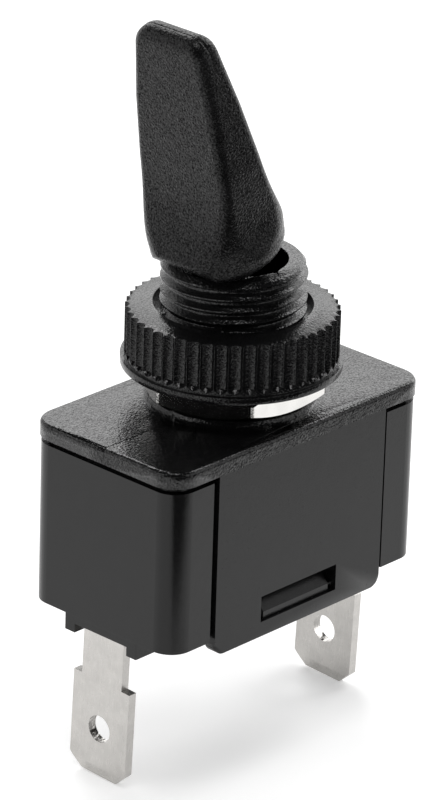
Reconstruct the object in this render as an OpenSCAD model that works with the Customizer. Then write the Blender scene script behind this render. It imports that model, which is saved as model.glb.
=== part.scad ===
// Panel toggle switch: a threaded bushing with two nuts, a flanged housing that snaps over a base,
// two blade terminals and a tilting paddle lever that drives a rocking contact.
// Millimetres, +Z up. The origin lies on the bushing's axis in the plane where the panel's
// underside seats, the upper face of the hexagon nut. At rest the lever leans toward -X and the
// contact at the +X end is closed.

/* [Housing] */
// Length of the housing flange, along X
flange_l = 30; // [29.5:0.5:36]
// Width of the housing flange, along Y
flange_w = 16.6; // [16:0.2:22]
// Thickness of the flange
flange_h = 1.4; // [1.2:0.1:2.4]
// Radius of the flange's upright corners
flange_corner_r = 2.4; // [1.6:0.1:4]
// Radius of the flange's upper edge
flange_edge_r = 0.4; // [0.1:0.1:0.8]
// Length of the two snap skirts, along X
skirt_l = 19.8; // [14:0.2:22]
// Thickness of the snap skirts
skirt_t = 1.1; // [0.8:0.1:1.3]
// Distance from the base's underside down to the skirts' lower edge
skirt_overhang = 1.35; // [1:0.05:2]
// Length of the window in each skirt, along X
window_l = 9; // [6:0.5:12]

/* [Bushing] */
// Outside diameter of the bushing's thread
bushing_d = 12; // [11.8:0.1:13]
// Height of the bushing above the flange
bushing_h = 12.3; // [11:0.1:14]
// Diameter of the bushing's bore
bore_d = 9.3; // [9.1:0.1:9.6]
// Diameter of the collar at the bushing's foot
collar_d = 14.2; // [13:0.1:15.5]
// Height of the collar
collar_h = 0.87; // [0.4:0.01:1.4]

/* [Nuts] */
// Width of the hexagon nut across its flats
hex_af = 14; // [13.6:0.1:17]
// Height of the hexagon nut
hex_h = 2.2; // [1.6:0.1:2.8]
// Turn of the hexagon nut about the bushing, in degrees
hex_turn = -4.2; // [-30:0.1:30]
// Diameter of the ring nut's plain foot
ring_foot_d = 18.2; // [17.8:0.1:22]
// Height of the ring nut's plain foot
ring_foot_h = 0.58; // [0.4:0.02:1.2]
// Height of the ring nut
ring_h = 5.2; // [4:0.05:6]
// Diameter over the ring nut's ribs
rib_d = 17.56; // [16.4:0.02:17.6]
// Number of ribs around the ring nut
rib_count = 48; // [40:1:52]
// Depth of the flutes between the ribs
flute_depth = 0.4; // [0.3:0.02:0.6]
// How far the ring nut's upper face falls from its recess out to its ribs
ring_fall = 0.38; // [0:0.02:0.6]
// Diameter of the recess in the ring nut's upper face
recess_d = 13.1; // [12.4:0.1:14]
// Depth of that recess
recess_h = 1; // [0.5:0.1:1.6]

/* [Lever] */
// Lean of the lever to either side of upright, in degrees
lever_lean = 17; // [8:0.5:18]
// Height of the lever's pivot above the flange
pivot_h = 7.53; // [7:0.01:7.8]
// Distance from the pivot to the underside of the lever's skirt
skirt_rise = 5.82; // [5.78:0.01:6.6]
// Radius of the lever's skirt
lever_r = 5.5; // [5:0.1:6]
// Height of the lever's round skirt
lever_skirt_h = 2; // [1:0.1:4]
// Radius of the skirt's lower edge on the two sides that swing over the bushing
swing_r = 3.9; // [3.4:0.05:4.2]
// Length of the lever, from the skirt's underside to its tip
lever_l = 21.4; // [17:0.1:28]
// Thickness of the paddle at its tip
tip_t = 2.2; // [1.6:0.1:3]
// Thickness of the paddle's wedge, carried down to the skirt's underside
root_t = 6.9; // [4:0.1:8]
// Width of the paddle at its tip
tip_w = 7.1; // [5:0.1:9]
// Width of the paddle's wedge, carried down to the skirt's underside
root_w = 9.3; // [7:0.1:10]
// How far the paddle's narrow faces bow out at mid-length
side_bow = 0.75; // [0:0.05:1]
// Corner radius of the paddle's tip, seen on its broad face
tip_corner_r = 1.5; // [1.2:0.1:2.2]
// Radius of the paddle's long edges
edge_r = 0.95; // [0.3:0.05:1]

/* [Base] */
// Height of the base below the flange
base_h = 14.1; // [14:0.1:18]
// Height of the open joint line between the flange and the base
joint_gap = 0.5; // [0.2:0.1:0.8]
// Step from the flange's outline in to the base's outline
base_inset = 0.2; // [0.1:0.05:0.4]
// Thickness of the base's walls
wall_t = 1.2; // [1:0.1:1.4]
// Thickness of the base's floor
floor_t = 1.5; // [1.2:0.1:2]
// Width of the boss around each terminal, along Y
boss_w = 8.05; // [7.4:0.05:10]
// Distance that the boss's legs reach below the base
boss_drop = 1.6; // [1:0.1:2.4]

/* [Terminals] */
// Distance from each end of the flange in to the terminal's outer face
tab_inset = 0.94; // [0.8:0.02:1.1]
// Width of a terminal's blade
tab_w = 6.3; // [4.8:0.1:6.5]
// Thickness of the terminals' sheet
tab_t = 0.8; // [0.6:0.05:0.9]
// Length of a blade from its shoulders to its tip
tab_l = 8.8; // [7:0.1:12]
// Distance from the base's underside to the blade's shoulders
shoulder_drop = 5.3; // [3:0.1:8]
// Width of a terminal's neck
neck_w = 4.5; // [3.6:0.1:4.6]
// Slant of the blades toward +Y, in degrees
tab_lean = 2.3; // [0:0.1:3]
// Diameter of the hole in a blade
tab_hole_d = 2.4; // [1.2:0.1:3]

/* [Contacts] */
// Lean of the rocker to either side of level, in degrees
rocker_lean = 8; // [6:0.5:9]
// Half of the rocker's length
rocker_reach = 9.8; // [9.4:0.1:10.2]
// Distance from the rocker's pivot to its contact
contact_reach = 8; // [7.5:0.1:8.2]
// Height of the moving contact's domed head
contact_head_h = 0.8; // [0.6:0.05:1]
// Height of the fixed contact above its strip
fixed_head_h = 0.5; // [0.4:0.05:0.7]

/* [Hidden] */
$fn = 96;

// Fits and small features
slip = 0.05;                // gap on each side of a pin that turns, and above or below a nut
press = 0.01;               // gap around a pin or shank that stays put
thread_depth = 0.34;        // from the thread's crest down to the core that the nuts run on
thread_slip = 0.04;         // gap between the core and a nut's bore
rim_chamfer = 0.5;
overlap = 0.5;              // how far joined solids run into each other
nut_chamfer_angle = 30;
plastic_black = [0.09, 0.09, 0.095];

// Heights, all from the panel's seat at z = 0
flange_z = -(collar_h + slip + hex_h);
plate_z = flange_z - flange_h;
base_top_z = plate_z - joint_gap;
base_z = base_top_z - base_h;
floor_z = base_z + floor_t;
skirt_z = base_z - skirt_overhang;
rim_z = flange_z + bushing_h;
pivot_z = flange_z + pivot_h;
ring_z = slip;
ring_top_z = ring_z + ring_h;
strip_top_z = floor_z + tab_t;
shoulder_z = base_z - shoulder_drop;
tip_z = shoulder_z - tab_l;
tab_hole_z = shoulder_z - tab_l / 2;
tab_bend_r = tab_t + 0.2;       // outer radius where the sheet is folded

// Bushing
bushing_r = bushing_d / 2;
core_r = bushing_r - thread_depth;
bore_r = bore_d / 2;
mouth_r = bore_r - 0.35;        // the bore narrows to a lip at the rim
mouth_h = 0.8;
nut_bore_r = core_r + thread_slip;

// Outer faces of the two terminals
tab_face_x = flange_l / 2 - tab_inset;

// Base
base_l = flange_l - 2 * base_inset;
base_w = flange_w - 2 * base_inset;
base_corner_r = flange_corner_r - 2 * base_inset;
pocket_slip = 0.4;                              // gap at each end of a skirt in its pocket
pocket_y = flange_w / 2 - skirt_t - slip;       // floor of the pockets for the skirts
cavity_y = pocket_y - 0.95;                     // inner wall behind the pockets
cavity_x = base_l / 2 - wall_t;
cavity_r = 0.6;

// Lever, in its own frame with the pivot at the origin
neck_r = 2.45;
hub_r = 2.6;
hub_y = bore_r - 0.2;
tail_r = 2.15;
tail_l = 15;
pin_r = 0.75;
scoop_top = 9.8;            // height where the scoops run out into the paddle's broad faces
side_top = 7.4;             // height where the round sides run out into its narrow faces
scoop_power = 3;            // how late the skirt swells out of the wedge
foot_r = 1.5;               // radius of the skirt's lower edge
edge_round = min(edge_r, tip_t / 2 - 0.15);
corner_points = 8;          // points on each corner of the lever's sections
tail_relief_r = 5.2;        // wider foot of the bushing's bore, where the tail swings
tail_relief_h = 0.4;        // height of that foot above the flange

// Rocker, in its own frame with the pivot at the origin and the blade above it
blade_t = 1;
blade_w = 6;
cradle_w = 4.4;
edge_round_r = tab_t / 2;
cradle_rivet_x = -2.6;
rivet_head_h = 0.5;
rivet_head_r = 1.3;
contact_gap = 0.03;
dome_r = 4;
contact_r = 1.75;
shank_r = 0.9;
rocker_z = strip_top_z + fixed_head_h + contact_gap + contact_reach * sin(rocker_lean)
    - (dome_r - contact_head_h) * cos(rocker_lean) + dome_r;

// Plunger, along the lever's axis, drawn pushed in so that the lever can cross the middle
plunger_r = 1.25;
plunger_l = 8;
plunger_tip = pivot_z - rocker_z - blade_t - slip;
plunger_bore_top = 4.4;
wire_r = 0.15;
coil_r = 0.95;
coil_turns = 6;

// Plate with rounded corners, its upper edge rounded by e, standing on z = 0
module rounded_plate(l, w, h, r, e) {
    for (x = [-1, 1], y = [-1, 1])
        translate([x * (l / 2 - r), y * (w / 2 - r), 0])
            rotate_extrude()
                edge_section(r, h, e);
    for (y = [-1, 1])
        mirror([0, y < 0 ? 1 : 0, 0])
            translate([0, w / 2 - r, 0])
                rotate([90, 0, 90])
                    linear_extrude(l - 2 * r, center = true)
                        edge_section(r, h, e);
    for (x = [-1, 1])
        mirror([x < 0 ? 1 : 0, 0, 0])
            translate([l / 2 - r, 0, 0])
                rotate([90, 0, 0])
                    linear_extrude(w - 2 * r, center = true)
                        edge_section(r, h, e);
    translate([-l / 2 + r, -w / 2 + r, 0])
        cube([l - 2 * r, w - 2 * r, h]);
}

// Section of a plate's border: r wide and h high, its outer upper corner rounded by e
module edge_section(r, h, e) {
    square([r, h - e]);
    square([r - e, h]);
    translate([r - e, h - e])
        circle(e);
}

// Rectangle with rounded corners, centred
module round_rect(l, w, r) {
    square([l, w - 2 * r], center = true);
    square([l - 2 * r, w], center = true);
    for (x = [-1, 1], y = [-1, 1])
        translate([x * (l / 2 - r), y * (w / 2 - r)])
            circle(r);
}

// Extrudes an (x, z) outline along Y, centred on y = 0
module across_y(w) {
    rotate([90, 0, 0])
        linear_extrude(w, center = true)
            children();
}

// Extrudes a (y, z) outline along X, centred on x = 0
module across_x(l) {
    rotate([90, 0, 90])
        linear_extrude(l, center = true)
            children();
}

// Cylinder along Y, centred
module y_pin(r, l) {
    rotate([90, 0, 0])
        cylinder(r = r, h = l, center = true);
}

// Shows its children on both long sides of the switch
module both_sides() {
    children();
    mirror([0, 1, 0])
        children();
}

// Puts a piece that is drawn upright about its pivot into its place on the leaning lever
module on_lever() {
    translate([0, 0, pivot_z])
        rotate([0, -lever_lean, 0])
            children();
}

// Puts a piece that is drawn level about its pivot into its place on the leaning rocker
module on_rocker() {
    translate([0, 0, rocker_z])
        rotate([0, rocker_lean, 0])
            children();
}

// Housing: flange, collar, bushing and the two snap skirts, moulded in one piece
module housing() {
    color(plastic_black)
        difference() {
            union() {
                translate([0, 0, plate_z])
                    rounded_plate(flange_l, flange_w, flange_h, flange_corner_r, flange_edge_r);
                bushing();
                both_sides()
                    snap_skirt();
            }
            translate([0, 0, plate_z - 1])
                cylinder(r = bore_r, h = bushing_h + flange_h + 1 - mouth_h);
            translate([0, 0, rim_z - mouth_h - 1])
                cylinder(r = mouth_r, h = mouth_h + 2);
            translate([0, 0, plate_z - 1])
                cylinder(r = tail_relief_r, h = flange_h + tail_relief_h + 1);
            translate([0, 0, pivot_z])
                y_pin(pin_r + press, bushing_d + 2);
        }
}

// Collar and bushing; the thread's core is bared where the nuts run
module bushing() {
    crest_z = ring_top_z - thread_depth - slip;
    collar_chamfer = min(0.15, collar_h / 3);
    rotate_extrude()
        polygon([
            [0, flange_z - overlap],
            [collar_d / 2, flange_z - overlap],
            [collar_d / 2, flange_z + collar_h - collar_chamfer],
            [collar_d / 2 - collar_chamfer, flange_z + collar_h],
            [core_r, flange_z + collar_h],
            [core_r, crest_z],
            [bushing_r, crest_z + thread_depth],
            [bushing_r, rim_z - rim_chamfer],
            [bushing_r - rim_chamfer, rim_z],
            [0, rim_z]
        ]);
}

// One snap skirt on the +Y side, with a window for the base's lug
module snap_skirt() {
    corner_r = 1.05;
    window_drop = skirt_overhang - slip;
    window_h = 2.3;
    top_z = plate_z + overlap;
    difference() {
        translate([0, flange_w / 2 - skirt_t / 2, 0])
            across_y(skirt_t)
                difference() {
                    translate([-skirt_l / 2, skirt_z])
                        square([skirt_l, top_z - skirt_z]);
                    for (x = [-1, 1])
                        translate([x * skirt_l / 2, skirt_z])
                            mirror([x > 0 ? 1 : 0, 0])
                                corner_cut(corner_r);
                }
        translate([-window_l / 2, flange_w / 2 - skirt_t - 1, skirt_z + window_drop])
            cube([window_l, skirt_t + 2, window_h]);
    }
}

// What a corner of radius r loses, the corner being at the origin and the sheet up and to +X
module corner_cut(r) {
    difference() {
        translate([-1, -1])
            square([r + 1, r + 1]);
        translate([r, r])
            circle(r);
    }
}

// Base: an open box with pockets for the skirts, lugs, terminal bosses and guide ribs
module base() {
    color(plastic_black) {
        difference() {
            union() {
                translate([0, 0, base_z])
                    linear_extrude(base_h)
                        round_rect(base_l, base_w, base_corner_r);
                base_lip();
                for (side = [0, 1])
                    mirror([side, 0, 0])
                        terminal_boss();
            }
            base_cavity();
            both_sides()
                skirt_pocket();
            for (side = [0, 1])
                mirror([side, 0, 0])
                    terminal_slot();
            translate([cradle_rivet_x, 0, floor_z - rivet_head_h])
                cylinder(r = rivet_head_r + slip, h = rivet_head_h + 1);
        }
        both_sides() {
            snap_lug();
            base_ribs();
        }
    }
}

// Lip that carries the flange and sets the open joint line
module base_lip() {
    step = 0.6;
    translate([0, 0, base_top_z - overlap])
        linear_extrude(joint_gap + overlap - slip)
            round_rect(base_l - 2 * step, base_w - 2 * step, base_corner_r - step);
}

// Inside of the base, narrower between the skirt pockets
module base_cavity() {
    shoulder_x = skirt_l / 2 + pocket_slip + wall_t;
    translate([0, 0, floor_z]) {
        linear_extrude(base_h + joint_gap)
            round_rect(2 * cavity_x, 2 * cavity_y, cavity_r);
        for (side = [0, 1])
            mirror([side, 0, 0])
                translate([shoulder_x, -base_w / 2 + wall_t, 0])
                    cube([cavity_x - shoulder_x, base_w - 2 * wall_t, base_h + joint_gap]);
    }
}

// Pocket on the +Y side that takes a snap skirt flush
module skirt_pocket() {
    pocket_l = skirt_l + 2 * pocket_slip;
    translate([-pocket_l / 2, pocket_y, base_z - 1])
        cube([pocket_l, flange_w, base_h + joint_gap + 2]);
}

// Lug on the +Y side: a ramp that the skirt rides over, with a flat catch underneath
module snap_lug() {
    lug_l = window_l - 1.2;
    lug_h = 1.5;
    lug_out = flange_w / 2 - 0.3;
    across_x(lug_l)
        polygon([
            [pocket_y - overlap, base_z],
            [lug_out, base_z],
            [lug_out, base_z + 0.4 * lug_h],
            [pocket_y, base_z + lug_h],
            [pocket_y - overlap, base_z + lug_h]
        ]);
}

// Boss around a terminal on the +X side: two legs and a low bar across them
module terminal_boss() {
    leg_t = 1.1;
    bar_drop = boss_drop / 2;
    boss_l = 2.6;
    boss_x = base_l / 2 - 0.2 - boss_l;
    for (y = [-1, 1])
        translate([boss_x, y * (boss_w - leg_t) / 2 - leg_t / 2, base_z - boss_drop])
            cube([boss_l, leg_t, boss_drop + overlap]);
    translate([boss_x, -boss_w / 2 + overlap, base_z - bar_drop])
        cube([boss_l, boss_w - 2 * overlap, bar_drop + overlap]);
}

// Slot on the +X side that a terminal is dropped into from above, with room for its slant
module terminal_slot() {
    slot_t = tab_bend_r + 2 * slip;
    slot_w = neck_w + 2 * slip + 2 * (floor_t + boss_drop) * tan(tab_lean);
    translate([tab_face_x + slip - slot_t, -slot_w / 2, base_z - boss_drop - 1])
        cube([slot_t, slot_w, base_h + boss_drop + joint_gap + 2]);
}

// Ribs on the +Y side: two guides beside the rocker, a stop under its open end
module base_ribs() {
    rib_t = 1;
    guide_x = 4;
    guide_top_z = rocker_z + blade_t;
    stop_x = contact_reach + 0.5;
    stop_top_z = rocker_z - (stop_x + rib_t / 2) * tan(rocker_lean) - 2 * slip;
    for (x = [-guide_x, guide_x])
        translate([x - rib_t / 2, blade_w / 2 + 2 * slip, floor_z - overlap])
            cube([rib_t, cavity_y - blade_w / 2, guide_top_z - floor_z + overlap]);
    translate([-stop_x - rib_t / 2, neck_w / 2 + 2 * slip, floor_z - overlap])
        cube([rib_t, cavity_y - neck_w / 2, stop_top_z - floor_z + overlap]);
}

// Lever: paddle, round skirt, neck, hub on the pivot pin and the tail that holds the plunger
module lever() {
    color(plastic_black)
        on_lever()
            difference() {
                union() {
                    lever_body();
                    cylinder(r = neck_r, h = skirt_rise + overlap);
                    intersection() {
                        y_pin(hub_r, 2 * hub_y);
                        cylinder(r = hub_y, h = 2 * neck_r, center = true);
                    }
                    translate([0, 0, -tail_l])
                        cylinder(r = tail_r, h = tail_l);
                }
                y_pin(pin_r + slip, bore_d);
                translate([0, 0, -tail_l - 1])
                    cylinder(r = plunger_r + 1.5 * slip, h = tail_l + 1 - plunger_bore_top);
            }
}

// Outside of the lever above the bushing. The round skirt's lower edge is rounded on the two
// sides that swing, so that it clears the bushing
module lever_body() {
    translate([0, 0, skirt_rise])
        intersection() {
            lever_loft();
            across_y(2 * lever_r + 1) {
                translate([-lever_r - 1, swing_r])
                    square([2 * lever_r + 2, lever_l]);
                translate([-lever_r + swing_r, 0])
                    square([2 * (lever_r - swing_r), lever_l]);
                for (x = [-1, 1])
                    translate([x * (lever_r - swing_r), swing_r])
                        circle(swing_r);
            }
        }
}

// Loft of rounded rectangles: a round skirt that is scooped down to the flat faces of a wedge,
// broad in Y, with rounded edges and a rounded tip
module lever_loft() {
    arc_steps = 5;
    scoop_steps = 14;
    tip_steps = 7;
    heights = concat(
        [for (i = [0 : arc_steps]) foot_r * (1 - cos(90 * i / arc_steps))],
        [for (i = [0 : scoop_steps]) lever_skirt_h + (scoop_top - lever_skirt_h) * i / scoop_steps],
        [(scoop_top + lever_l - tip_corner_r) / 2],
        [for (i = [0 : tip_steps]) lever_l - tip_corner_r * (1 - sin(90 * i / tip_steps))]
    );
    points = [for (h = heights) each section_points(h)];
    n = 4 * corner_points;
    walls = [for (i = [0 : len(heights) - 2], k = [0 : n - 1])
        let (a = i * n + k, b = i * n + (k + 1) % n)
        each [[a, a + n, b + n], [a, b + n, b]]];
    foot = [for (k = [0 : n - 1]) k];
    tip = [for (k = [n - 1 : -1 : 0]) (len(heights) - 1) * n + k];
    polyhedron(points, concat(walls, [foot, tip]));
}

// Share of the way from the wedge, at height top, down to the round skirt
function scooped(h, top) = pow(max(0, min(1, (top - h) / (top - lever_skirt_h))), scoop_power);

// How far a quarter circle of radius r that ends at height top has turned inward at height h
function turned_in(h, top, r) = r - sqrt(max(0, r * r - pow(max(0, h - top + r), 2)));

// Half-thickness of the plain wedge, and half-width with its bowed narrow faces
function wedge_x(h) = (root_t + (tip_t - root_t) * h / lever_l) / 2;
function wedge_y(h) =
    let (t = h / lever_l)
    (root_w + (tip_w - root_w) * t) / 2 + 4 * side_bow * t * (1 - t);

// Outline of the lever's section at height h above the skirt's underside
function section_points(h) =
    let (
        foot_in = foot_r - sqrt(max(0, foot_r * foot_r - pow(max(0, foot_r - h), 2))),
        tip_in = turned_in(h, lever_l, edge_round),
        x = wedge_x(h) + (lever_r - wedge_x(h)) * scooped(h, scoop_top) - foot_in - tip_in,
        y = wedge_y(h) + (lever_r - wedge_y(h)) * scooped(h, side_top) - foot_in
            - turned_in(h, lever_l, tip_corner_r),
        full_r = edge_round + (min(x, y) - edge_round) * scooped(h, scoop_top) - tip_in / 2,
        r = min(full_r, x, y)
    )
    [for (corner = [0 : 3], k = [0 : corner_points - 1])
        let (
            angle = 90 * corner + 90 * (k + 0.5) / corner_points,
            side_x = cos(90 * corner + 45) > 0 ? 1 : -1,
            side_y = sin(90 * corner + 45) > 0 ? 1 : -1
        )
        [side_x * (x - r) + r * cos(angle), side_y * (y - r) + r * sin(angle), h]];

// Pivot pin, pressed through the bushing below the nuts' cover
module pivot_pin() {
    color("silver")
        translate([0, 0, pivot_z])
            y_pin(pin_r, 2 * core_r - 0.5);
}

// Plunger: a round pin with a domed tip that rides on the rocker
module plunger() {
    color("ivory")
        on_lever()
            translate([0, 0, -plunger_tip]) {
                translate([0, 0, plunger_r])
                    cylinder(r = plunger_r, h = plunger_l - plunger_r);
                translate([0, 0, plunger_r])
                    sphere(plunger_r);
            }
}

// Spring between the bottom of the tail's bore and the plunger
module plunger_spring() {
    color("silver")
        on_lever()
            translate([0, 0, -plunger_tip + plunger_l + wire_r + press])
                coil(plunger_tip - plunger_l - plunger_bore_top - 2 * (wire_r + press));
}

// Round wire wound about Z from z = 0 to z = h
module coil(h) {
    steps = 18;
    sides = 6;
    rings = coil_turns * steps;
    function ring_point(i, k) =
        let (turn = 360 * i / steps, around = 360 * k / sides, r = coil_r + wire_r * cos(around))
        [r * cos(turn), r * sin(turn), h * i / rings + wire_r * sin(around)];
    points = [for (i = [0 : rings], k = [0 : sides - 1]) ring_point(i, k)];
    walls = [for (i = [0 : rings - 1], k = [0 : sides - 1])
        let (next = (k + 1) % sides)
        [i * sides + k, (i + 1) * sides + k, (i + 1) * sides + next, i * sides + next]];
    first_cap = [for (k = [0 : sides - 1]) k];
    last_cap = [for (k = [sides - 1 : -1 : 0]) rings * sides + k];
    polyhedron(points, concat(walls, [first_cap, last_cap]));
}

// Rocker: a flat blade with a groove under its middle that sits on the cradle's edge
module rocker() {
    color("goldenrod")
        on_rocker()
            difference() {
                translate([-rocker_reach, -blade_w / 2, 0])
                    cube([2 * rocker_reach, blade_w, blade_t]);
                y_pin(edge_round_r + contact_gap, blade_w + 2);
                translate([contact_reach, 0, -1])
                    cylinder(r = shank_r + press, h = blade_t + 2);
            }
}

// Moving contact: a domed head below the rocker, riveted over on top
module moving_contact() {
    rivet_r = 1.4;
    rivet_h = 0.35;
    color("silver")
        on_rocker()
            translate([contact_reach, 0, 0]) {
                intersection() {
                    translate([0, 0, -contact_head_h])
                        cylinder(r = contact_r, h = contact_head_h);
                    translate([0, 0, dome_r - contact_head_h])
                        sphere(dome_r);
                }
                translate([0, 0, -contact_head_h / 2])
                    cylinder(r = shank_r, h = blade_t + contact_head_h / 2);
                translate([0, 0, blade_t])
                    cylinder(r = rivet_r, h = rivet_h);
            }
}

// Fixed contact: a flat head on the switched terminal's strip, its shank flush underneath
module fixed_contact() {
    color("silver")
        translate([contact_reach, 0, floor_z]) {
            cylinder(r = shank_r, h = tab_t);
            translate([0, 0, tab_t])
                cylinder(r = contact_r + 0.15, h = fixed_head_h);
        }
}

// Terminal on the +X side: a strip along the base's floor, a bend, and the slanting blade
module terminal(strip_end_x) {
    outer_x = tab_face_x;
    bend_z = strip_top_z - tab_bend_r;
    across_y(neck_w) {
        translate([strip_end_x, floor_z])
            square([outer_x - tab_bend_r - strip_end_x, tab_t]);
        quarter_bend(outer_x - tab_bend_r, bend_z);
        translate([outer_x - tab_t, bend_z - overlap])
            square([tab_t, overlap]);
    }
    translate([0, 0, bend_z])
        rotate([tab_lean, 0, 0])
            translate([outer_x - tab_t / 2, 0, -bend_z])
                blade(bend_z);
}

// Quarter of a bent sheet's edge about (x, z), from straight down round to straight in
module quarter_bend(x, z) {
    translate([x, z])
        intersection() {
            difference() {
                circle(tab_bend_r);
                circle(tab_bend_r - tab_t);
            }
            square(tab_bend_r);
        }
}

// Neck and blade, centred on the sheet's thickness, the neck starting at height top_z
module blade(top_z) {
    difference() {
        union() {
            translate([-tab_t / 2, -neck_w / 2, shoulder_z - overlap])
                cube([tab_t, neck_w, top_z - shoulder_z + overlap]);
            intersection() {
                across_x(tab_t)
                    blade_face();
                across_y(tab_w + 1)
                    blade_edge();
            }
        }
        translate([0, 0, tab_hole_z])
            rotate([0, 90, 0])
                cylinder(d = tab_hole_d, h = tab_t + 1, center = true);
    }
}

// Blade seen on its broad face, with cut corners at the tip
module blade_face() {
    cut = 1.2;
    polygon([
        [-tab_w / 2, shoulder_z],
        [-tab_w / 2, tip_z + cut],
        [-tab_w / 2 + cut, tip_z],
        [tab_w / 2 - cut, tip_z],
        [tab_w / 2, tip_z + cut],
        [tab_w / 2, shoulder_z]
    ]);
}

// Blade seen on its edge, bevelled at the tip
module blade_edge() {
    bevel_h = 0.9;
    tip_half_t = tab_t / 4;
    polygon([
        [-tab_t / 2, shoulder_z],
        [-tab_t / 2, tip_z + bevel_h],
        [-tip_half_t, tip_z],
        [tip_half_t, tip_z],
        [tab_t / 2, tip_z + bevel_h],
        [tab_t / 2, shoulder_z]
    ]);
}

// Terminal at the +X end, under the contact
module switched_terminal() {
    color("silver")
        difference() {
            terminal(contact_reach - contact_r - 0.6);
            translate([contact_reach, 0, floor_z - 1])
                cylinder(r = shank_r + press, h = tab_t + 2);
        }
}

// Terminal at the -X end, its strip running on under the cradle
module common_terminal() {
    color("silver")
        difference() {
            mirror([1, 0, 0])
                terminal(-1.6);
            translate([cradle_rivet_x, 0, floor_z - 1])
                cylinder(r = shank_r + press, h = tab_t + 2);
        }
}

// Cradle: a folded bracket whose rounded upper edge carries the rocker
module cradle() {
    foot_l = 4.4;
    color("goldenrod")
        difference() {
            across_y(cradle_w) {
                translate([-foot_l, strip_top_z])
                    square([foot_l + edge_round_r - tab_bend_r, tab_t]);
                translate([-edge_round_r, strip_top_z + tab_bend_r])
                    square([tab_t, rocker_z - strip_top_z - tab_bend_r]);
                mirror([0, 1])
                    quarter_bend(edge_round_r - tab_bend_r, -strip_top_z - tab_bend_r);
                translate([0, rocker_z])
                    circle(edge_round_r);
            }
            translate([cradle_rivet_x, 0, strip_top_z - 1])
                cylinder(r = shank_r + press, h = tab_t + 2);
        }
}

// Rivet that holds the cradle to the common terminal
module cradle_rivet() {
    color("silver")
        translate([cradle_rivet_x, 0, floor_z]) {
            translate([0, 0, -rivet_head_h + slip])
                cylinder(r = rivet_head_r, h = rivet_head_h - slip);
            cylinder(r = shank_r, h = 2 * tab_t);
            translate([0, 0, 2 * tab_t])
                cylinder(r = rivet_head_r, h = rivet_head_h);
        }
}

// Hexagon nut, its corners turned off on both faces
module hex_nut() {
    corner_r = hex_af / 2 / cos(30);
    face_r = hex_af / 2 - 0.1;
    chamfer_h = (corner_r - face_r) * tan(nut_chamfer_angle);
    color("silver")
        translate([0, 0, -hex_h])
            difference() {
                intersection() {
                    rotate([0, 0, hex_turn])
                        cylinder(r = corner_r, h = hex_h, $fn = 6);
                    rotate_extrude()
                        polygon([
                            [0, 0],
                            [face_r, 0],
                            [corner_r, chamfer_h],
                            [corner_r, hex_h - chamfer_h],
                            [face_r, hex_h],
                            [0, hex_h]
                        ]);
                }
                translate([0, 0, -1])
                    cylinder(r = nut_bore_r, h = hex_h + 2);
            }
}

// Ring nut: a plain foot and a fluted body with a recess in its upper face
module ring_nut() {
    rib_r = rib_d / 2;
    flute_bottom_r = rib_r - flute_depth;
    pitch_angle = 360 / rib_count;
    half_pitch = rib_r * sin(pitch_angle / 2);
    flute_r = (half_pitch * half_pitch + flute_depth * flute_depth) / (2 * flute_depth) * 0.97;
    color(plastic_black)
        translate([0, 0, ring_z])
            difference() {
                union() {
                    cylinder(d = ring_foot_d, h = ring_foot_h);
                    rotate_extrude()
                        polygon([
                            [0, 0],
                            [rib_r, 0],
                            [rib_r, ring_h - ring_fall],
                            [recess_d / 2, ring_h],
                            [0, ring_h]
                        ]);
                }
                for (i = [0 : rib_count - 1])
                    rotate([0, 0, i * pitch_angle])
                        translate([flute_bottom_r + flute_r, 0, ring_foot_h])
                            flute_cut(flute_r);
                translate([0, 0, -1])
                    cylinder(r = nut_bore_r, h = ring_h + 2);
                translate([0, 0, ring_h - recess_h])
                    cylinder(d = recess_d, h = recess_h + 1);
            }
}

// One flute of radius r, running out to a point just above the foot
module flute_cut(r) {
    run_out = 0.5;
    cylinder(r1 = 0.02, r2 = r, h = run_out, $fn = 24);
    translate([0, 0, run_out])
        cylinder(r = r, h = ring_h, $fn = 24);
}

housing();
base();
lever();
pivot_pin();
plunger();
plunger_spring();
rocker();
moving_contact();
fixed_contact();
switched_terminal();
common_terminal();
cradle();
cradle_rivet();
hex_nut();
ring_nut();
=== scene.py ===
"""Panel toggle switch, dressed for the studio: black mouldings, a plated hexagon nut, tinned blades."""

import math

import bmesh
import bpy
from mathutils import Matrix, Vector


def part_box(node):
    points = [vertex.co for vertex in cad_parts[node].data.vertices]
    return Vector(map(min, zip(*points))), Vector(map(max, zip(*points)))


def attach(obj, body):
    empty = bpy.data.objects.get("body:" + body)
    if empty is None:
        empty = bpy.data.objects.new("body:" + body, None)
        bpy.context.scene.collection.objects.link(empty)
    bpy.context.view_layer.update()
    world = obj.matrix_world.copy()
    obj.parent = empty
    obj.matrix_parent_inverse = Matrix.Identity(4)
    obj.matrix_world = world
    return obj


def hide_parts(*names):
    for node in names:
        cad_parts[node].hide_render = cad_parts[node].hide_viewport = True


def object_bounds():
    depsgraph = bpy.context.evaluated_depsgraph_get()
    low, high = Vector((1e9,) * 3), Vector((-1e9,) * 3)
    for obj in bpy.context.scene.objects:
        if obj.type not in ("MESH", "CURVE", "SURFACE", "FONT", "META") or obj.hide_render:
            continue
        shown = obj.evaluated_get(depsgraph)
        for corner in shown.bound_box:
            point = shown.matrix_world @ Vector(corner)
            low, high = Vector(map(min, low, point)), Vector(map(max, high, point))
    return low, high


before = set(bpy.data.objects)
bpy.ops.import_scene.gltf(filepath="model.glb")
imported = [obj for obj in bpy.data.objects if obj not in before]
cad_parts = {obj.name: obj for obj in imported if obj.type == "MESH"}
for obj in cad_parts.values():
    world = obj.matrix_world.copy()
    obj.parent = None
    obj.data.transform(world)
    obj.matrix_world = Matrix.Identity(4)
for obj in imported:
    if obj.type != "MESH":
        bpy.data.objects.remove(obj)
cad_low, cad_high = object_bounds()
MM = 0.001


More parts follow.
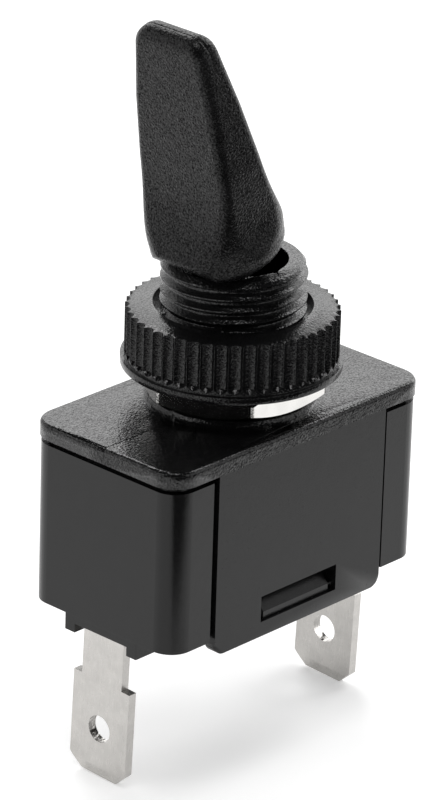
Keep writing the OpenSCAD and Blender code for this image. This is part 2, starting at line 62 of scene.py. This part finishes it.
# ---------------------------------------------------------------------------------------------
# Camera, floor and light. A long lens looks down on one corner of the switch, which stands on
# white paper in a pale room. Soft boxes hang behind, beside and over it, and black cards in front,
# overhead and round its foot darken what the black mouldings mirror.
VIEW_AZIMUTH = math.radians(-47.27)
VIEW_ELEVATION = math.radians(23.60)
VIEW_ROLL = math.radians(1.80)
VIEW_DISTANCE = 425.4 * MM
VIEW_TARGET = Vector((-0.681, 0.654, -3.458)) * MM
SENSOR_HEIGHT = 24.0
LENS = 156.4
NEAR_CLIP = 0.01
FLOOR_HALF = 3.0
PAPER_SHADE = (0.86, 0.86, 0.86, 1)
PAPER_GLOW = 0.35
PAPER_ROUGHNESS = 0.9
PAPER_SHEEN = 0.1
ROOM_LIGHT = 0.5
LAMP_DISTANCE = 0.9
FRONT_CARD_AZIMUTH = -47
FRONT_CARD_DISTANCE = 1.0
FRONT_CARD_WIDTH = 1.9
FLAG_LIFT = 0.05 * MM
CEILING = 1.2
FLAG_OUTLINE = ((-160, -400), (300, -400), (300, -200), (140, -90), (66, -70), (46, -78),
                (-8, -60), (-38, -36), (-160, -70))


def point_camera():
    """Stands the camera off the target along its view, rolled a little."""
    level = math.cos(VIEW_ELEVATION)
    back = Vector((math.sin(VIEW_AZIMUTH) * level, -math.cos(VIEW_AZIMUTH) * level,
                   math.sin(VIEW_ELEVATION)))
    right = Vector((math.cos(VIEW_AZIMUTH), math.sin(VIEW_AZIMUTH), 0))
    turn = Matrix((right, back.cross(right), back)).transposed()
    turn = turn @ Matrix.Rotation(VIEW_ROLL, 3, "Z")
    data = bpy.data.cameras.new("camera")
    data.sensor_fit = "VERTICAL"
    data.sensor_height = SENSOR_HEIGHT
    data.lens = LENS
    data.clip_start = NEAR_CLIP
    camera = bpy.data.objects.new("camera", data)
    camera.matrix_world = Matrix.Translation(VIEW_TARGET + back * VIEW_DISTANCE) @ turn.to_4x4()
    bpy.context.collection.objects.link(camera)
    bpy.context.scene.camera = camera


def seen_directly(tree):
    """Gives 1 on rays from the camera, from a gloss or through glass, and 0 on diffuse rays."""
    path = tree.nodes.new("ShaderNodeLightPath")
    first = tree.nodes.new("ShaderNodeMath")
    first.operation = "MAXIMUM"
    tree.links.new(path.outputs["Is Camera Ray"], first.inputs[0])
    tree.links.new(path.outputs["Is Glossy Ray"], first.inputs[1])
    both = tree.nodes.new("ShaderNodeMath")
    both.operation = "MAXIMUM"
    tree.links.new(first.outputs[0], both.inputs[0])
    tree.links.new(path.outputs["Is Transmission Ray"], both.inputs[1])
    return both.outputs[0]


def scaled(tree, value, low, high):
    """Maps a 0 to 1 value onto low to high."""
    node = tree.nodes.new("ShaderNodeMapRange")
    node.inputs["To Min"].default_value = low
    node.inputs["To Max"].default_value = high
    tree.links.new(value, node.inputs["Value"])
    return node.outputs["Result"]


def lay_floor():
    """White paper under the blades' tips, which keeps the switch's soft shadow."""
    form = bmesh.new()
    bmesh.ops.create_grid(form, x_segments=1, y_segments=1, size=FLOOR_HALF)
    bmesh.ops.translate(form, verts=form.verts, vec=(0, 0, cad_low.z))
    mesh = bpy.data.meshes.new("paper_floor")
    form.to_mesh(mesh)
    form.free()
    floor = bpy.data.objects.new("paper_floor", mesh)
    bpy.context.collection.objects.link(floor)
    paper = bpy.data.materials.new("white_paper")
    paper.use_nodes = True
    tree = paper.node_tree
    shader = tree.nodes["Principled BSDF"]
    shader.inputs["Base Color"].default_value = PAPER_SHADE
    shader.inputs["Roughness"].default_value = PAPER_ROUGHNESS
    shader.inputs["Specular IOR Level"].default_value = PAPER_SHEEN
    shader.inputs["Emission Color"].default_value = (1, 1, 1, 1)
    glow = scaled(tree, seen_directly(tree), 0.0, PAPER_GLOW)
    tree.links.new(glow, shader.inputs["Emission Strength"])
    mesh.materials.append(paper)


def light_room():
    """A pale room: white where it is seen, and plain soft light on the switch."""
    world = bpy.data.worlds.new("pale_room")
    world.use_nodes = True
    bpy.context.scene.world = world
    tree = world.node_tree
    background = tree.nodes["Background"]
    background.inputs["Color"].default_value = (1, 1, 1, 1)
    tree.links.new(scaled(tree, seen_directly(tree), ROOM_LIGHT, 1.0), background.inputs["Strength"])


def hang_softbox(name, azimuth, elevation, width, height, radiance):
    """A soft box that faces the switch. Its azimuth counts round from the camera's side, -Y."""
    data = bpy.data.lights.new(name, "AREA")
    data.shape = "RECTANGLE"
    data.size = width
    data.size_y = height
    data.energy = radiance * math.pi * width * height
    turn = math.radians(azimuth)
    rise = math.radians(elevation)
    away = Vector((math.sin(turn) * math.cos(rise), -math.cos(turn) * math.cos(rise),
                   math.sin(rise)))
    lamp = bpy.data.objects.new(name, data)
    lamp.location = away * LAMP_DISTANCE
    lamp.rotation_euler = away.to_track_quat("Z", "Y").to_euler()
    bpy.context.collection.objects.link(lamp)


def hang_flag(name, corners):
    """Black card in the room, which only glossy faces see."""
    form = bmesh.new()
    form.faces.new([form.verts.new(corner) for corner in corners])
    mesh = bpy.data.meshes.new(name)
    form.to_mesh(mesh)
    form.free()
    flag = bpy.data.objects.new(name, mesh)
    bpy.context.collection.objects.link(flag)
    card = bpy.data.materials.get("black_card") or bpy.data.materials.new("black_card")
    card.use_nodes = True
    shader = card.node_tree.nodes["Principled BSDF"]
    shader.inputs["Base Color"].default_value = (0, 0, 0, 1)
    shader.inputs["Specular IOR Level"].default_value = 0.0
    mesh.materials.append(card)
    flag.visible_camera = False
    flag.visible_diffuse = False
    flag.visible_transmission = False
    flag.visible_shadow = False


def upright_card(azimuth, distance, width, height):
    """Corners of a card that stands on the floor and faces the switch."""
    turn = math.radians(azimuth)
    out = Vector((math.sin(turn), -math.cos(turn), 0))
    side = Vector((math.cos(turn), math.sin(turn), 0)) * width / 2
    foot = out * distance + Vector((0, 0, cad_low.z))
    rise = Vector((0, 0, height))
    return (foot - side, foot + side, foot + side + rise, foot - side + rise)


point_camera()
lay_floor()
light_room()
hang_flag("floor_flag", [(x * MM, y * MM, cad_low.z + FLAG_LIFT) for x, y in FLAG_OUTLINE])
hang_flag("front_flag", upright_card(FRONT_CARD_AZIMUTH, FRONT_CARD_DISTANCE, FRONT_CARD_WIDTH,
                                     CEILING))
hang_flag("ceiling_flag", [(x * CEILING, y * CEILING, CEILING)
                           for x, y in ((-1, -1), (1, -1), (1, 1), (-1, 1))])
for name, azimuth, elevation, width, height, radiance in (
    ("back_softbox", 133, 24, 0.9, 0.35, 1.6),
    ("high_softbox", 152, 47, 0.40, 0.30, 5.5),
    ("right_softbox", 88, 45, 0.35, 0.25, 5.0),
    ("side_softbox", 95, 16, 0.35, 0.35, 2.2),
    ("left_softbox", -110, 32, 0.3, 0.3, 1.5),
    ("top_softbox", -47, 76, 0.35, 0.35, 4.5),
):
    hang_softbox(name, azimuth, elevation, width, height, radiance)
bpy.context.scene.view_settings.view_transform = "Standard"


# ---------------------------------------------------------------------------------------------
# Housing: flange, collar, bushing and snap skirts in one black moulding, grained above the flange's
# rim and smooth on the skirts. The bushing carries a right-handed screw thread of 1 mm pitch, down
# to where the ring nut covers it. The mould's halves leave a fine line over the flange's end.
PLASTIC_BLACK = (0.004, 0.004, 0.0042)
PLASTIC_IOR = 1.41
TONE_PATCH = 12
GLOSS_PATCH = 3
GLINT = 0.8
GLOSS_DRIFT = 0.15
WELD_GAP = 0.0005 * MM
THREAD_PITCH = 1.0 * MM
THREAD_STEPS = 192
THREAD_TURNS = range(2, 12)
THREAD_WELD = 0.001 * MM
CREST_R = 6.0 * MM
ROOT_R = 5.44 * MM
CORE_R = 5.66 * MM
THREAD_PHASE = 0.056 * MM
CREST_FLAT = 0.16 * MM
CREST_DROP = 0.04 * MM
FLANK = 0.28 * MM
EASE = 0.03 * MM
ROOT_EASE = 0.05 * MM
RUN_IN = 0.02 * MM
CUT_Z = -1.0 * MM
CUT_GAP = 0.0001 * MM
LOOP_Z_GAP = 0.01 * MM
LOOP_R_GAP = 0.35 * MM
SKIRT_TOP_Z = -4.6 * MM
PARTING_END_X = -7.0 * MM
PARTING_LOW_Z = -4.51 * MM
PARTING_GAP = 0.00005 * MM
PARTING_CUT = 0.00001 * MM
PARTING_Y = -0.3 * MM
PARTING_W = 0.05 * MM
PARTING_DEPTH = 0.05 * MM
THREAD_LOW_Z = 4.28 * MM
RIM_CHAMFER = 0.5 * MM
RIM_BAND = 0.30 * MM
BORE_R = 4.65 * MM
MOUTH_R = 4.30 * MM
MOUTH_H = 0.8 * MM
MOUTH_EDGE = 0.1 * MM


def noise(tree, size, detail=2.0, stretch=(1, 1, 1)):
    """Noise on the piece's own coordinates, its cells about size across."""
    place = tree.nodes.new("ShaderNodeTexCoord")
    mapping = tree.nodes.new("ShaderNodeMapping")
    mapping.inputs["Scale"].default_value = stretch
    tree.links.new(place.outputs["Object"], mapping.inputs["Vector"])
    node = tree.nodes.new("ShaderNodeTexNoise")
    node.inputs["Scale"].default_value = 1 / size
    node.inputs["Detail"].default_value = detail
    tree.links.new(mapping.outputs["Vector"], node.inputs["Vector"])
    return node.outputs["Fac"]


def spread(tree, value, low, high, narrow=0.2):
    """Stretches noise, which keeps near its middle, and maps it onto low to high."""
    node = tree.nodes.new("ShaderNodeMapRange")
    node.inputs["From Min"].default_value = 0.5 - narrow
    node.inputs["From Max"].default_value = 0.5 + narrow
    node.inputs["To Min"].default_value = low
    node.inputs["To Max"].default_value = high
    tree.links.new(value, node.inputs["Value"])
    return node.outputs["Result"]


def raise_surface(tree, shader, heights):
    """Bumps the surface by several (value, height) pairs, one on top of another."""
    normal = None
    for value, height in heights:
        bump = tree.nodes.new("ShaderNodeBump")
        bump.inputs["Strength"].default_value = 1.0
        bump.inputs["Distance"].default_value = height
        tree.links.new(value, bump.inputs["Height"])
        if normal is not None:
            tree.links.new(normal, bump.inputs["Normal"])
        normal = bump.outputs["Normal"]
    tree.links.new(normal, shader.inputs["Normal"])


def tinted(tree, value, dark, light):
    """Colour that goes from dark to light with value."""
    mix = tree.nodes.new("ShaderNodeMix")
    mix.data_type = "RGBA"
    mix.inputs["A"].default_value = (*dark, 1)
    mix.inputs["B"].default_value = (*light, 1)
    tree.links.new(value, mix.inputs["Factor"])
    return mix.outputs["Result"]


def moulded_plastic(name, colour, grain, depth, roughness, mottle=0.25, level=0.5, speckle=0.0):
    """Plastic from a spark-eroded mould: fine grain, slightly uneven and speckled gloss."""
    material = bpy.data.materials.new(name)
    material.use_nodes = True
    tree = material.node_tree
    shader = tree.nodes["Principled BSDF"]
    shader.inputs["IOR"].default_value = PLASTIC_IOR
    shader.inputs["Specular IOR Level"].default_value = level
    if speckle:
        glints = spread(tree, noise(tree, GLINT * grain, 1.0), level * (1 - speckle),
                        level * (1 + speckle))
        tree.links.new(glints, shader.inputs["Specular IOR Level"])
    fine = noise(tree, grain, 1.0)
    broad = noise(tree, TONE_PATCH * grain, 3.0)
    dark = [c * (1 - mottle) for c in colour]
    light = [c * (1 + mottle) for c in colour]
    tree.links.new(tinted(tree, spread(tree, broad, 0, 1), dark, light),
                   shader.inputs["Base Color"])
    tree.links.new(spread(tree, noise(tree, GLOSS_PATCH * grain), roughness * (1 - GLOSS_DRIFT),
                          roughness * (1 + GLOSS_DRIFT)), shader.inputs["Roughness"])
    raise_surface(tree, shader, [(fine, depth), (broad, depth)])
    return material


def dress(node, material):
    """Gives a CAD node its finish."""
    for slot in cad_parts[node].material_slots:
        slot.material = material


def form_of(node):
    """A merged copy of a CAD node's mesh, to work on."""
    form = bmesh.new()
    form.from_mesh(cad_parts[node].data)
    for face in form.faces:
        face.material_index = 0
    bmesh.ops.remove_doubles(form, verts=form.verts, dist=WELD_GAP)
    return form


def flatten_shading(piece):
    """Keeps broad flat faces evenly shaded beside their rounded edges."""
    weigh = piece.modifiers.new("even_shading", "WEIGHTED_NORMAL")
    weigh.weight = 100
    weigh.keep_sharp = True


def make_piece(name, form, material, body, sharp=math.radians(32)):
    """Turns a worked form into a piece that rides on a body."""
    mesh = bpy.data.meshes.new(name)
    form.to_mesh(mesh)
    form.free()
    mesh.materials.append(material)
    for face in mesh.polygons:
        face.use_smooth = True
    mesh.set_sharp_from_angle(angle=sharp)
    piece = bpy.data.objects.new(name, mesh)
    bpy.context.collection.objects.link(piece)
    flatten_shading(piece)
    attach(piece, body)
    return piece


def open_loop(form, radius, z):
    """The open edges that lie near a radius and a height."""
    return [e for e in form.edges if e.is_boundary
            and all(abs(v.co.z - z) < LOOP_Z_GAP for v in e.verts)
            and all(abs(v.co.xy.length - radius) < LOOP_R_GAP for v in e.verts)]


def turn_thread(form, rim_z):
    """Spins one upright row of crests and roots into a screw, and trims it to the bushing."""
    row = []
    for turn in THREAD_TURNS:
        start = THREAD_PHASE + turn * THREAD_PITCH
        for rise, radius in (
            (0, CREST_R - CREST_DROP),
            (EASE, CREST_R),
            (CREST_FLAT - EASE, CREST_R),
            (CREST_FLAT, CREST_R - CREST_DROP),
            (CREST_FLAT + FLANK, ROOT_R + EASE),
            (CREST_FLAT + FLANK + ROOT_EASE, ROOT_R),
            (THREAD_PITCH - FLANK - ROOT_EASE, ROOT_R),
            (THREAD_PITCH - FLANK, ROOT_R + EASE),
        ):
            row.append(form.verts.new((radius, 0, start + rise)))
    edges = [form.edges.new(pair) for pair in zip(row, row[1:])]
    old = set(form.verts) - set(row)
    bmesh.ops.spin(form, geom=row + edges, cent=(0, 0, 0), axis=(0, 0, 1),
                   dvec=(0, 0, THREAD_PITCH / THREAD_STEPS), angle=math.tau,
                   steps=THREAD_STEPS, use_duplicate=False)
    screw = [v for v in form.verts if v not in old]
    bmesh.ops.remove_doubles(form, verts=screw, dist=THREAD_WELD)
    for height, side in ((rim_z, 1), (rim_z - RIM_BAND, 0), (rim_z - 2 * RIM_BAND, 0),
                         (THREAD_LOW_Z, -1)):
        screw = [v for v in form.verts if v not in old]
        parts = set(screw)
        for vert in screw:
            parts.update(vert.link_edges)
            parts.update(vert.link_faces)
        bmesh.ops.bisect_plane(form, geom=list(parts), dist=CUT_GAP,
                               plane_co=(0, 0, height), plane_no=(0, 0, side or 1),
                               clear_outer=side != 0)
    for vert in form.verts:
        if vert in old:
            continue
        below_rim = rim_z - vert.co.z
        limit = min(CREST_R - RIM_CHAMFER + below_rim,
                    CORE_R - RUN_IN + vert.co.z - THREAD_LOW_Z)
        fill = max(0, min(1, 2 - below_rim / RIM_BAND))
        radius = min(limit, vert.co.xy.length)
        radius += fill * (limit - radius)
        vert.co.xy *= radius / vert.co.xy.length


def score(form, point, normal, keep):
    """Presses a fine parting line into a form where a plane meets it, at the vertices kept."""
    for offset in (-PARTING_W, PARTING_W, 0):
        everything = list(form.verts) + list(form.edges) + list(form.faces)
        bmesh.ops.bisect_plane(form, geom=everything, dist=PARTING_CUT,
                               plane_co=point + normal * offset, plane_no=normal)
    form.normal_update()
    line = [v for v in form.verts if abs((v.co - point).dot(normal)) < PARTING_GAP and keep(v)]
    sunk = [v.co - v.normal * PARTING_DEPTH for v in line]
    for vert, place in zip(line, sunk):
        vert.co = place


def threaded_housing():
    """The moulding up to the collar, with the threaded bushing built onto it."""
    rim_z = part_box("housing")[1].z
    form = form_of("housing")
    score(form, Vector((0, PARTING_Y, 0)), Vector((0, 1, 0)),
          lambda v: v.co.x < PARTING_END_X and v.co.z > PARTING_LOW_Z)
    everything = list(form.verts) + list(form.edges) + list(form.faces)
    bmesh.ops.bisect_plane(form, geom=everything, dist=CUT_GAP, plane_co=(0, 0, CUT_Z),
                           plane_no=(0, 0, 1), clear_outer=True)
    core = open_loop(form, CORE_R, CUT_Z)
    bore_rim = open_loop(form, BORE_R, CUT_Z)
    for radius, height in ((BORE_R, rim_z - MOUTH_H), (MOUTH_R, rim_z - MOUTH_H),
                           (MOUTH_R, rim_z - MOUTH_EDGE), (MOUTH_R + MOUTH_EDGE, rim_z)):
        grown = bmesh.ops.extrude_edge_only(form, edges=bore_rim)["geom"]
        bore_rim = [part for part in grown if isinstance(part, bmesh.types.BMEdge)]
        for vert in {v for edge in bore_rim for v in edge.verts}:
            vert.co = (*(vert.co.xy.normalized() * radius), height)
    turn_thread(form, rim_z)
    low = open_loop(form, CORE_R, THREAD_LOW_Z)
    rim = [e for e in form.edges if e.is_boundary and e not in bore_rim
           and all(abs(v.co.z - rim_z) < LOOP_Z_GAP for v in e.verts)]
    bmesh.ops.bridge_loops(form, edges=core + low)
    bmesh.ops.bridge_loops(form, edges=rim + bore_rim)
    bmesh.ops.recalc_face_normals(form, faces=form.faces)
    return form


black_moulding = moulded_plastic("black_moulding", PLASTIC_BLACK, grain=0.18 * MM,
                                 depth=0.040 * MM, roughness=0.16, speckle=0.7)
smooth_moulding = moulded_plastic("smooth_moulding", PLASTIC_BLACK, grain=0.12 * MM,
                                  depth=0.010 * MM, roughness=0.24, level=0.42)
housing = make_piece("housing_moulding", threaded_housing(), black_moulding, "frame")
housing.data.materials.append(smooth_moulding)
for face in housing.data.polygons:
    face.material_index = int(face.center.z < SKIRT_TOP_Z)
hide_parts("housing")


# ---------------------------------------------------------------------------------------------
# Base: the open box under the flange, with the lugs that the skirts snap over. It is moulded in the
# same black from a polished mould, so its sides are smooth.
BASE_EASE = 0.07 * MM
base_moulding = moulded_plastic("base_moulding", PLASTIC_BLACK, grain=0.12 * MM,
                                depth=0.010 * MM, roughness=0.22, level=0.46)


def ease_edges(node, width, angle=32):
    """Rounds a CAD node's sharp edges a little, as a mould or a press leaves them."""
    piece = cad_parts[node]
    weld = piece.modifiers.new("weld", "WELD")
    weld.merge_threshold = WELD_GAP
    bevel = piece.modifiers.new("eased_edges", "BEVEL")
    bevel.width = width
    bevel.segments = 2
    bevel.limit_method = "ANGLE"
    bevel.angle_limit = math.radians(angle)
    flatten_shading(piece)


dress("base", base_moulding)
ease_edges("base", BASE_EASE)


# ---------------------------------------------------------------------------------------------
# Lever: a matt black paddle moulded with a coarser spark grain. Its hub turns on the pivot pin. The
# mould leaves a fine parting line that runs over its tip.
LEVER_BLACK = (0.005, 0.005, 0.0052)
LEVER_SHARP = math.radians(40)
LEVER_LEAN = math.radians(17)
PIVOT = Vector((0, 0, 4.41)) * MM
LINE_FROM = 25.0 * MM


def scored_lever():
    """The lever's form with the mould's parting line pressed in over the paddle's tip."""
    form = form_of("lever")
    across = Vector((math.cos(LEVER_LEAN), 0, math.sin(LEVER_LEAN)))
    up = Vector((-math.sin(LEVER_LEAN), 0, math.cos(LEVER_LEAN)))
    score(form, PIVOT, across, lambda v: (v.co - PIVOT).dot(up) > LINE_FROM)
    return form


lever_moulding = moulded_plastic("lever_moulding", LEVER_BLACK, grain=0.19 * MM,
                                 depth=0.055 * MM, roughness=0.26, mottle=0.35, level=0.28,
                                 speckle=0.9)
lever = make_piece("lever_paddle", scored_lever(), lever_moulding, "lever", LEVER_SHARP)
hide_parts("lever")


# ---------------------------------------------------------------------------------------------
# Ring nut: half-gloss black moulding, fluted for the fingers, with a plain foot. It screws down on
# the bushing and clamps the panel against the hexagon nut.
FLUTE_EASE = 0.08 * MM
FLUTE_ANGLE = 40
ring_moulding = moulded_plastic("ring_moulding", PLASTIC_BLACK, grain=0.17 * MM,
                                depth=0.025 * MM, roughness=0.14, level=0.42, speckle=0.6)
dress("ring_nut", ring_moulding)
ease_edges("ring_nut", FLUTE_EASE, FLUTE_ANGLE)


# ---------------------------------------------------------------------------------------------
# Hexagon nut: turned and milled from steel, tumbled until its upright corners are round and pitted,
# and nickel-plated bright.
NICKEL = (0.72, 0.71, 0.69)
PLATE_PATCH = 14
PLATE_DARK = 0.93
PLATE_LIGHT = 1.04
PLATE_DRIFT = 0.3
FLAT_ANGLE = math.radians(0.5)
NUT_CORNER_R = 7.9 * MM
NUT_CORNER_H = 0.5 * MM
CORNER_ROUND = 0.75 * MM


def plated_metal(name, colour, roughness, pits, depth, stretch=(1, 1, 1), size=0.12 * MM):
    """Metal with a thin bright plate over a faintly uneven surface."""
    material = bpy.data.materials.new(name)
    material.use_nodes = True
    tree = material.node_tree
    shader = tree.nodes["Principled BSDF"]
    shader.inputs["Metallic"].default_value = 1.0
    fine = noise(tree, size, 3.0, stretch)
    broad = noise(tree, PLATE_PATCH * size, 2.0)
    dark = [c * PLATE_DARK for c in colour]
    light = [min(1, c * PLATE_LIGHT) for c in colour]
    tree.links.new(tinted(tree, spread(tree, broad, 0, 1), dark, light),
                   shader.inputs["Base Color"])
    tree.links.new(spread(tree, fine, roughness * (1 - PLATE_DRIFT),
                          roughness * (1 + PLATE_DRIFT)), shader.inputs["Roughness"])
    raise_surface(tree, shader, [(fine, pits), (broad, depth)])
    return material


def tumbled_nut():
    """The nut with its six upright corners rounded off. Their faces take the second material."""
    form = form_of("hex_nut")
    bmesh.ops.dissolve_limit(form, angle_limit=FLAT_ANGLE, verts=form.verts, edges=form.edges)
    corners = [e for e in form.edges
               if abs(e.verts[0].co.z - e.verts[1].co.z) > NUT_CORNER_H
               and all(v.co.xy.length > NUT_CORNER_R for v in e.verts)]
    rounded = bmesh.ops.bevel(form, geom=corners, offset=CORNER_ROUND, segments=6, profile=0.5,
                              affect="EDGES", material=-1, clamp_overlap=True)
    for face in rounded["faces"]:
        face.material_index = 1
    return form


nickel_plate = plated_metal("nickel_plate", NICKEL, roughness=0.08, pits=0.004 * MM,
                            depth=0.003 * MM)
tumbled_plate = plated_metal("tumbled_plate", NICKEL, roughness=0.20, pits=0.12 * MM,
                             depth=0.02 * MM, size=0.20 * MM)
hex_nut = make_piece("hex_nut_plated", tumbled_nut(), nickel_plate, "hex_nut")
hex_nut.data.materials.append(tumbled_plate)
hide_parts("hex_nut")


# ---------------------------------------------------------------------------------------------
# Terminals: two blades blanked from brass strip and tin-plated, with the rolling grain along the
# blade and edges rounded by the press. They stand in the base's slots.
TIN = (0.52, 0.505, 0.485)
ROLLING_GRAIN = (1, 1, 0.12)
BLADE_EASE = 0.14 * MM
tin_plate = plated_metal("tin_plate", TIN, roughness=0.32, pits=0.0012 * MM, depth=0.003 * MM,
                         stretch=ROLLING_GRAIN, size=0.10 * MM)
for blade in ("switched_terminal", "common_terminal"):
    dress(blade, tin_plate)
    ease_edges(blade, BLADE_EASE)


# ---------------------------------------------------------------------------------------------
# Pieces inside: steel pivot pin and spring, nylon plunger, brass rocker, cradle and rivet, and the
# two silver contacts. None of them shows once the switch is closed.
STEEL = (0.56, 0.56, 0.57)
BRASS = (0.72, 0.52, 0.24)
SILVER = (0.86, 0.85, 0.82)
NYLON = (0.72, 0.70, 0.62)
plain_steel = plated_metal("plain_steel", STEEL, roughness=0.28, pits=0.001 * MM,
                           depth=0.002 * MM)
plain_brass = plated_metal("plain_brass", BRASS, roughness=0.30, pits=0.001 * MM,
                           depth=0.003 * MM)
silver_face = plated_metal("silver_face", SILVER, roughness=0.22, pits=0.001 * MM,
                           depth=0.002 * MM)
nylon = moulded_plastic("natural_nylon", NYLON, grain=0.2 * MM, depth=0.004 * MM, roughness=0.45,
                        mottle=0.06)
for node, finish in (
    ("pivot_pin", plain_steel),
    ("plunger_spring", plain_steel),
    ("plunger", nylon),
    ("rocker", plain_brass),
    ("cradle", plain_brass),
    ("cradle_rivet", plain_brass),
    ("moving_contact", silver_face),
    ("fixed_contact", silver_face),
):
    dress(node, finish)
